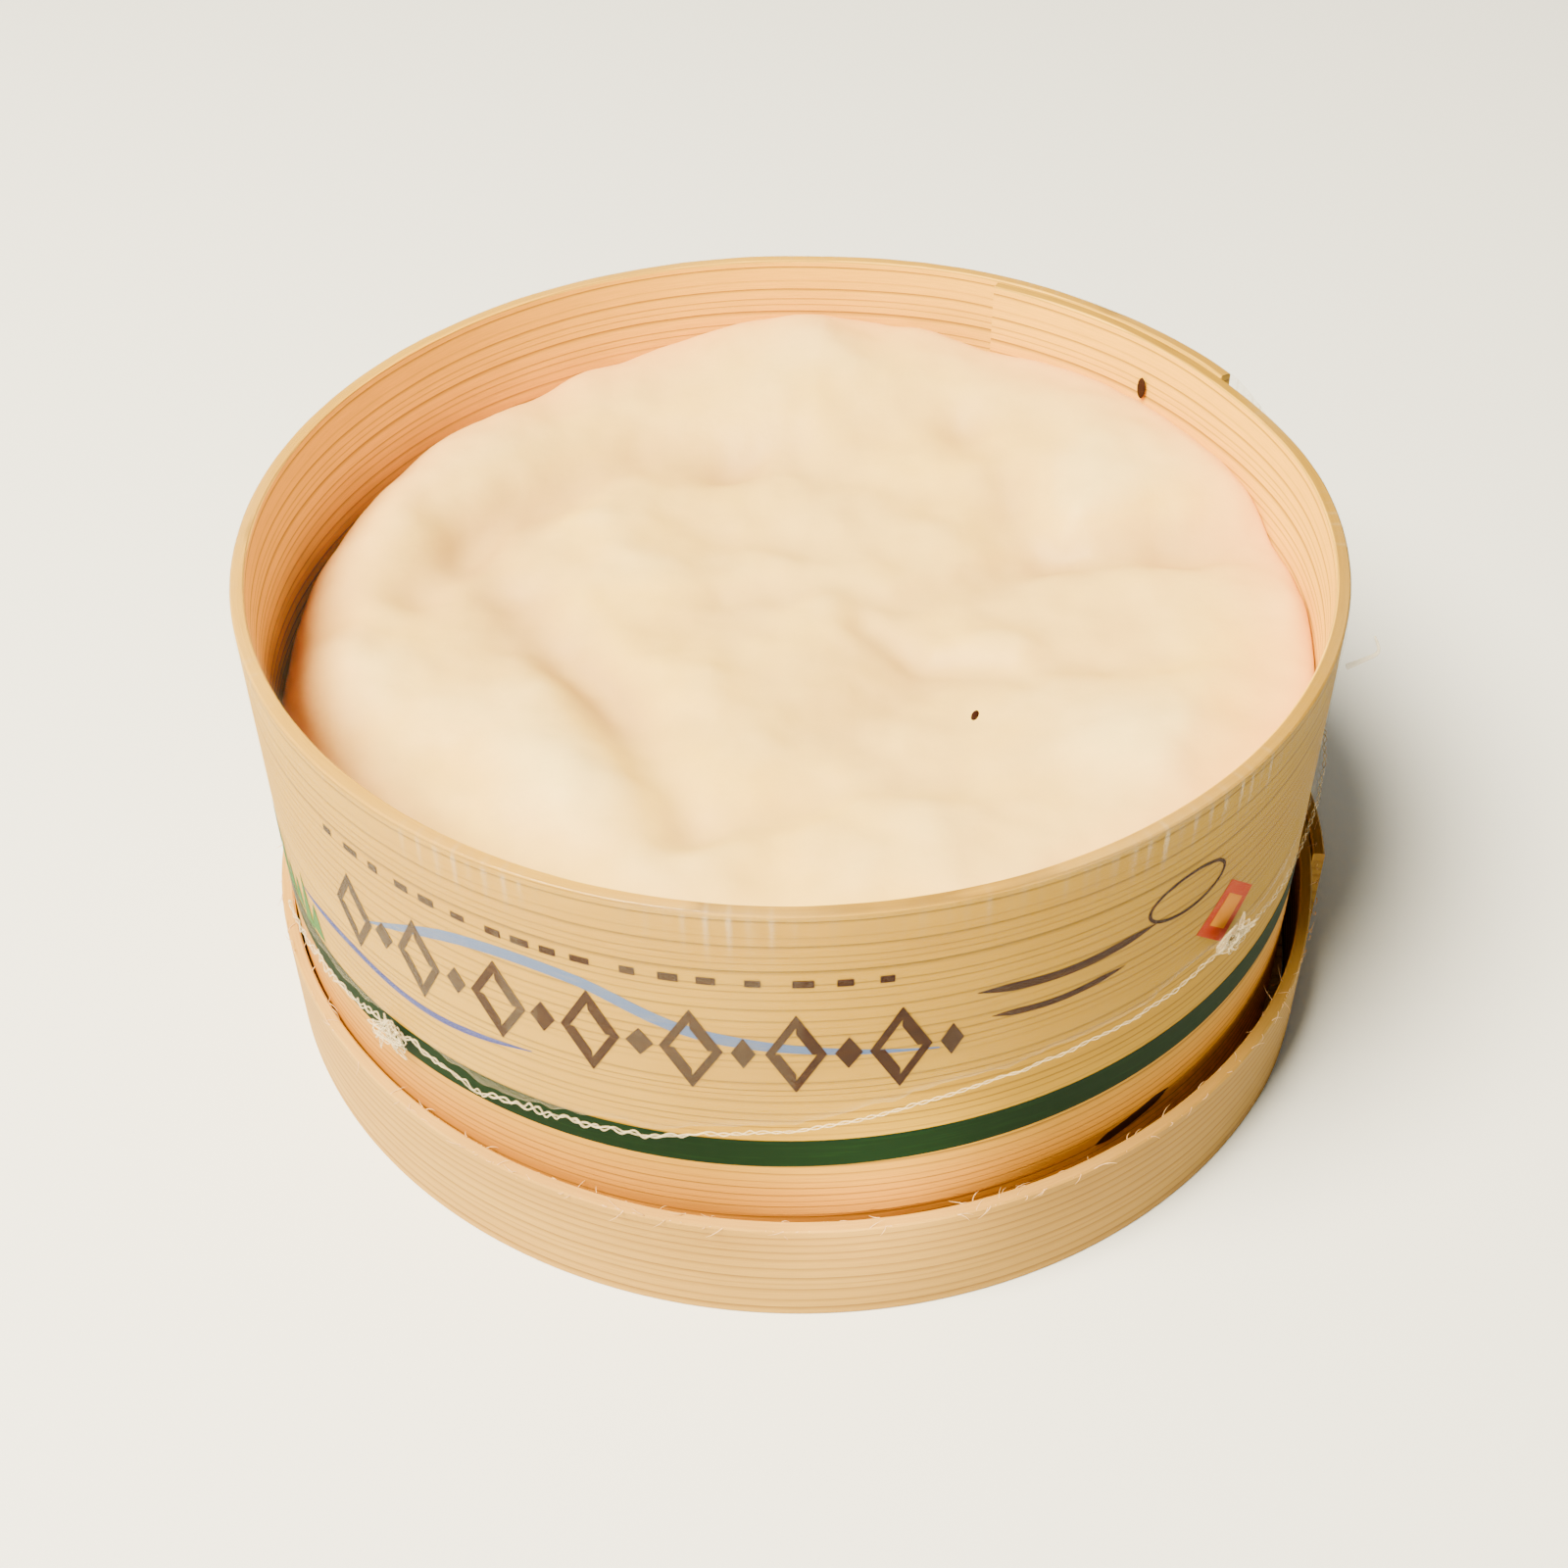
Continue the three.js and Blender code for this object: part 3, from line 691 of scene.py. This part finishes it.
def filmPiece(sides=900, rows=34):
    degrees = np.arange(sides) * 360 / sides - 180
    angle = np.radians(degrees)
    plan = clearOutside(box, degrees) + film["stand"]
    marks = np.array(film["edge"])
    rim = box["high"] + 0.1
    around = np.stack([plan * np.cos(angle), plan * np.sin(angle), np.zeros(sides)], -1)
    ragged = noiseAt(around, 6, 21) * 1.2 + noiseAt(around, 2.2, 22) * 0.7
    lowEdge = np.interp(degrees, marks[:, 0], marks[:, 1]) + ragged
    # pleats gather below the rim in some stretches more than in others
    gather = np.clip(0.35 + 1.3 * noiseAt(around, 22, 23), 0.08, 1)
    ripple = np.abs(noiseAt(around, 1.5, 24))
    # painted glints: thin bright upright ticks whiten the film below the rim, as light caught on the
    # pleats
    beat = np.sin(angle * plan / 0.36 + 3 * noiseAt(around, 5, 26))
    paintedGlint = np.maximum(0, beat) ** 6 * np.clip(noiseAt(around, 16, 27) + 0.45, 0, 1)
    soft = noiseAt(around, 9, 25)
    # painted sheen: the film is whitened towards the left, as light from that side catches it
    paintedLeftSheen = np.clip(np.cos(angle - math.radians(-140)), 0, 1) ** 2
    outer, hazeAndSheenRows = [], []
    for share in (0.08, 0.25, 0.5, 0.75, 0.9, 0.965):
        outer.append(np.stack([plan * share * np.cos(angle), plan * share * np.sin(angle),
            np.full(sides, rim + 0.02)], -1))
        hazeAndSheenRows.append(np.full(sides, 0.008))
    # the fold over the rim is whitened, partly as a painted glint, more where the glints fall
    for bend in (10, 45, 80):
        radius = plan - 0.5 + 0.5 * math.sin(math.radians(bend))
        outer.append(np.stack([radius * np.cos(angle), radius * np.sin(angle),
            np.full(sides, rim - 0.5 + 0.5 * math.cos(math.radians(bend)))], -1))
        hazeAndSheenRows.append(0.03 + 0.12 * gather + 0.2 * paintedGlint)
    for row in range(rows):
        share = (row + 0.3) / rows
        z = rim - 0.6 - share * (rim - 0.6 - lowEdge)
        depth = rim - z
        pleat = gather * ripple * 0.55 * np.exp(-depth / 5.5) * smoothStep(depth, 0.4, 1.6)
        hang = 0.35 * np.clip(soft, 0, 1) * smoothStep(depth, 8, 20)
        nearEdge = np.exp(-((z - lowEdge) / 0.7) ** 2)
        radius = plan + pleat + hang + nearEdge * (0.25 + 0.5 * ripple)
        outer.append(np.stack([radius * np.cos(angle), radius * np.sin(angle), z], -1))
        gathered = 0.12 * gather * ripple * np.exp(-depth / 6)
        paintedGlintVeil = 0.7 * paintedGlint * np.exp(-((depth / 4.5) ** 2))
        # whiteness per row: gathered film and the rolled lower edge, plus painted sheen on the left and
        # painted glints
        hazeAndSheen = 0.002 + 0.07 * paintedLeftSheen + gathered + paintedGlintVeil + 0.3 * nearEdge
        hazeAndSheenRows.append(np.clip(hazeAndSheen + 0.03 * np.clip(soft, 0, 1), 0, 1))
    outer, hazeAndSheenRows = np.array(outer), np.array(hazeAndSheenRows)
    flatRows = 9
    inner = outer.copy()
    inner[:flatRows, :, 2] -= film["thick"]
    inward = np.stack([np.cos(angle), np.sin(angle), np.zeros(sides)], -1) * film["thick"]
    inner[flatRows - 2:] -= inward
    rings = np.concatenate([outer, inner[::-1]])
    hazeAndSheen = np.concatenate([hazeAndSheenRows, hazeAndSheenRows[::-1]])
    values = np.repeat(hazeAndSheen[:, :, None], 3, 2)
    return ringSolid("clearFilm", (0, 0, rim + 0.02), rings, (0, 0, rim + 0.02 - film["thick"]),
        {"hazeAndSheen": values}, 1.0)


# polyolefin film: see-through, a thin shine, whitish where it is gathered; the whitish mix also carries
# painted sheen on the left and painted glints along the pleats and the rim fold
def filmMaterial():
    material, tree = newMaterial("clear shrink film")
    hazeAndSheen = addNode(tree, "ShaderNodeAttribute", {"attribute_name": "hazeAndSheen"})
    place = addNode(tree, "ShaderNodeTexCoord").outputs["Object"]
    stretch = addNode(tree, "ShaderNodeMapping", None, {"Vector": place, "Scale": (260, 260, 40)})
    crinkle = addNode(tree, "ShaderNodeTexNoise", None,
        {"Vector": stretch.outputs[0], "Scale": 1.0, "Detail": 3.0})
    lift = addNode(tree, "ShaderNodeBump", None,
        {"Strength": 0.3, "Distance": 0.0004, "Height": crinkle.outputs["Fac"]})
    clear = addNode(tree, "ShaderNodeBsdfTransparent", None, {"Color": (0.985, 0.985, 0.98, 1)})
    hazeAndSheenShader = addNode(tree, "ShaderNodeBsdfPrincipled", None,
        {"Base Color": linear("ecdcb4"), "Roughness": 0.4, "Normal": lift.outputs[0]})
    shine = addNode(tree, "ShaderNodeBsdfGlossy", None,
        {"Color": (1, 0.92, 0.74, 1), "Roughness": 0.12, "Normal": lift.outputs[0]})
    body = addNode(tree, "ShaderNodeMixShader", None,
        {0: mathNode(tree, "MULTIPLY", hazeAndSheen.outputs["Fac"], 0.4), 1: clear.outputs[0],
        2: hazeAndSheenShader.outputs[0]})
    whole = addNode(tree, "ShaderNodeMixShader", None,
        {0: 0.005, 1: body.outputs[0], 2: shine.outputs[0]})
    setSurface(tree, whole.outputs[0])
    return material


# a tube along a path, closed at both ends
def tube(name, path, radius, sides=8):
    path = np.array(path, float)
    along = np.gradient(path, axis=0)
    along /= np.linalg.norm(along, axis=1)[:, None]
    side = np.cross(along, (0.13, 0.21, 0.97))
    side /= np.linalg.norm(side, axis=1)[:, None]
    other = np.cross(along, side)
    t = np.arange(sides) * 2 * np.pi / sides
    thick = np.broadcast_to(np.asarray(radius, float), (len(path),))[:, None, None]
    turn = side[:, None] * np.cos(t)[None, :, None] + other[:, None] * np.sin(t)[None, :, None]
    rings = path[:, None] + thick * turn
    return ringSolid(name, path[0], rings, path[-1], {"hazeAndSheen": np.full(rings.shape, 0.7)}, 1.5)


def beadPiece(name, flip, start=-158, end=8, count=1500):
    degrees = np.linspace(start, end, count)
    angle = np.radians(degrees)
    marks = np.array(film["edge"])
    arc = angle * box["radius"]
    line = np.stack([arc, np.zeros(count), np.zeros(count)], -1)
    # the edge zigzags where the film tore and runs nearly straight where it was cut
    torn = 0.25 + 0.75 * smoothStep(-degrees, 92, 104)
    beat = np.sin(arc * (2.3 + 0.3 * flip) + 8 * noiseAt(line, 6, 31 + flip))
    zigzag = beat * (0.5 + 0.8 * noiseAt(line, 4, 36))
    level = np.interp(degrees, marks[:, 0], marks[:, 1])
    z = level + torn * (flip * 0.6 * zigzag + 0.8 * noiseAt(line, 3, 32))
    radius = box["radius"] + 1.0 + flip * 0.18 * np.cos(arc * 2.1) + 0.2 * noiseAt(line, 2, 33)
    path = np.stack([radius * np.cos(angle), radius * np.sin(angle), z], -1)
    thick = 0.07 + 0.07 * torn * (0.5 + np.abs(noiseAt(line, 2, 34 + flip)))
    return tube(name, path, thick)


# a knot of torn film caught at the edge
def wadPiece(name, wad):
    random.seed(wad["seed"])
    knots = []
    for k in range(wad["turns"]):
        s = (wad["arc"] + random.gauss(0, wad["wide"])) / box["radius"]
        out = box["radius"] + random.uniform(0.8, 2.2)
        knots.append((out * math.sin(s), -out * math.cos(s), wad["z"] + random.gauss(0, wad["tall"])))
    return tube(name, curveThrough(knots, wad["turns"] * 9), wad["thick"], 6)


leftWad = {"arc": -53, "z": 28.5, "wide": 1.5, "tall": 1.5, "turns": 64, "thick": 0.1, "seed": 41}
rightWad = {"arc": 57, "z": 41, "wide": 1.7, "tall": 0.9, "turns": 90, "thick": 0.13, "seed": 42}
filmBody = filmPiece()
clearFilm = filmMaterial()
dress(filmBody, clearFilm, "clear_film", "film")
dress(beadPiece("filmBead", 1), clearFilm, "clear_film")
dress(beadPiece("filmBeadTwin", -1), clearFilm, "clear_film")
dress(wadPiece("leftWad", leftWad), clearFilm, "clear_film")
dress(wadPiece("rightWad", rightWad), clearFilm, "clear_film")
tailPath = curveThrough([(69.6, -16, 55), (71.4, -16.4, 56.4), (73.2, -15.8, 57.2), (72.6, -15, 59)], 20)
tail = tube("filmTail", tailPath, np.linspace(0.4, 0.15, 20))
dress(tail, clearFilm, "clear_film")
print("film", len(filmBody.data.polygons))


# fibres left by the saw on the cut edge of the lid
def fibrePiece(name, hoop, count, seed, slotName, material, longest):
    random.seed(seed)
    points, facing = [], []
    for k in range(count):
        a = random.uniform(-math.pi, math.pi)
        out = hoop["radius"] - random.choice((0.1, 0.15, hoop["veneer"] - 0.1))
        points.append((out * math.cos(a) + hoop["shift"], out * math.sin(a), hoop["high"] - 0.12))
        facing.append((random.gauss(0, 0.5), 1.45 + random.gauss(0, 0.25),
            a + math.pi / 2 + random.choice((0, math.pi))))
    t = np.linspace(0, 1, 7)
    path = np.stack([0.35 * t ** 2, 0.2 * np.sin(3 * t), 2.4 * t], -1)
    strand = tube(name, path, 0.075 * (1.15 - t), 5)
    template = strand.data
    template.transform(Matrix.Scale(1 / mm, 4))
    bpy.data.objects.remove(strand)
    mesh = scattered(name, points, template, material, (0.3, 0.2, 0.3), (0.5, 0.5, 0.15),
        (1.1, 1.1, longest), seed, facing)
    mesh.transform(Matrix.Scale(mm, 4))
    dress(placeMesh(name, mesh, 1.5), material, slotName)


fibreWood, tree = newMaterial("loose spruce fibre")
place = addNode(tree, "ShaderNodeTexCoord").outputs["Object"]
tone = addNode(tree, "ShaderNodeTexNoise", None, {"Vector": place, "Scale": 300.0})
colour = mixColour(tree, tone.outputs["Fac"], linear("e2c392"), linear("c08d4f"))
setSurface(tree, addNode(tree, "ShaderNodeBsdfPrincipled", None,
    {"Base Color": colour, "Roughness": 0.7}).outputs[0])
fibrePiece("lidFibres", lid, 420, 51, "lid_spruce", fibreWood, 1.0)


# dark flecks: a seed husk on the film and a knot splinter on the inner wall
def fleck(name, place, size, turned):
    t = np.linspace(0.08, np.pi - 0.08, 7)
    a = np.arange(10) * 2 * np.pi / 10
    rings = np.stack([np.outer(np.sin(t), np.cos(a)) * size[0], np.outer(np.sin(t), np.sin(a)) * size[1],
        np.repeat(np.cos(t)[:, None], 10, 1) * size[2]], -1)
    spin = np.array(Matrix.Rotation(math.radians(turned), 3, "Z"))
    rings = rings @ spin.T + np.array(place)
    piece = ringSolid(name, np.array(place) + (0, 0, size[2]), rings, np.array(place) - (0, 0, size[2]),
        None, 2.0)
    dress(piece, inks["brown"], "spruce")


fleck("filmFleck", (20.7, -38.9, 67.05), (0.42, 0.95, 0.2), -20)
fleck("wallFleck", (51.2, 42.9, 59.4), (0.25, 0.75, 1.7), 40)

# floor and light: pale table, broad soft light from the left, weak fill
stage = {"floor": "e4ebf2", "key": 84.0, "fill": 0.4, "sky": (1.35, 0.04), "gleam": 45.0}
floorMaterial, tree = newMaterial("pale table top")
shader = addNode(tree, "ShaderNodeBsdfPrincipled", None,
    {"Base Color": linear(stage["floor"]), "Roughness": 0.7})
setSurface(tree, shader.outputs[0])
floorMesh = bpy.data.meshes.new("floor")
floorMesh.from_pydata([(-6, -6, 0), (6, -6, 0), (6, 6, 0), (-6, 6, 0)], [], [(0, 1, 2, 3)])
floorMesh.materials.append(floorMaterial)
floor = bpy.data.objects.new("floor", floorMesh)
bpy.context.scene.collection.objects.link(floor)


def softBox(name, place, size, power, colour):
    lamp = bpy.data.lights.new(name, "AREA")
    lamp.shape = "DISK"
    lamp.size = size
    lamp.energy = power
    lamp.color = colour
    holder = bpy.data.objects.new(name, lamp)
    holder.location = place
    holder.rotation_mode = "QUATERNION"
    holder.rotation_quaternion = Vector(place).to_track_quat("Z", "Y")
    bpy.context.scene.collection.objects.link(holder)


softBox("key", (-0.48, -0.36, 1.02), 0.6, stage["key"], (1.0, 0.84, 0.57))
softBox("fill", (0.5, -0.7, 0.5), 0.8, stage["fill"], (1.0, 0.9, 0.78))
# a narrow gleam on the front, as by a gap in a curtain
gleam = bpy.data.lights.new("gleam", "SPOT")
gleam.energy = stage["gleam"]
gleam.color = (1.0, 0.88, 0.65)
gleam.spot_size = math.radians(3.0)
gleam.spot_blend = 0.8
gleam.shadow_soft_size = 0.01
gleamHolder = bpy.data.objects.new("gleam", gleam)
gleamHolder.location = (0.08, -0.62, 0.22)
gleamAim = Vector(gleamHolder.location) - Vector((0.008, -0.072, 0.022))
gleamHolder.rotation_mode = "QUATERNION"
gleamHolder.rotation_quaternion = gleamAim.to_track_quat("Z", "Y")
bpy.context.scene.collection.objects.link(gleamHolder)
# sky bright and cool on the left, as by a wide window, dim and warm on the right
world = bpy.data.worlds.new("studio")
world.use_nodes = True
tree = world.node_tree
sky = tree.nodes["Background"]
aim = addNode(tree, "ShaderNodeSeparateXYZ", None,
    {0: addNode(tree, "ShaderNodeTexCoord").outputs["Generated"]})
level = addNode(tree, "ShaderNodeMapRange", None,
    {"Value": aim.outputs[0], 1: -1.0, 2: 0.35, 3: stage["sky"][0], 4: stage["sky"][1]})
side = addNode(tree, "ShaderNodeMapRange", None,
    {"Value": aim.outputs[0], 1: -0.9, 2: 0.5, 3: 0.0, 4: 1.0})
tint = mixColour(tree, side.outputs[0], (0.9, 0.95, 0.88, 1), (1.0, 0.86, 0.6, 1))
tree.links.new(tint, sky.inputs["Color"])
tree.links.new(level.outputs[0], sky.inputs["Strength"])
bpy.context.scene.world = world
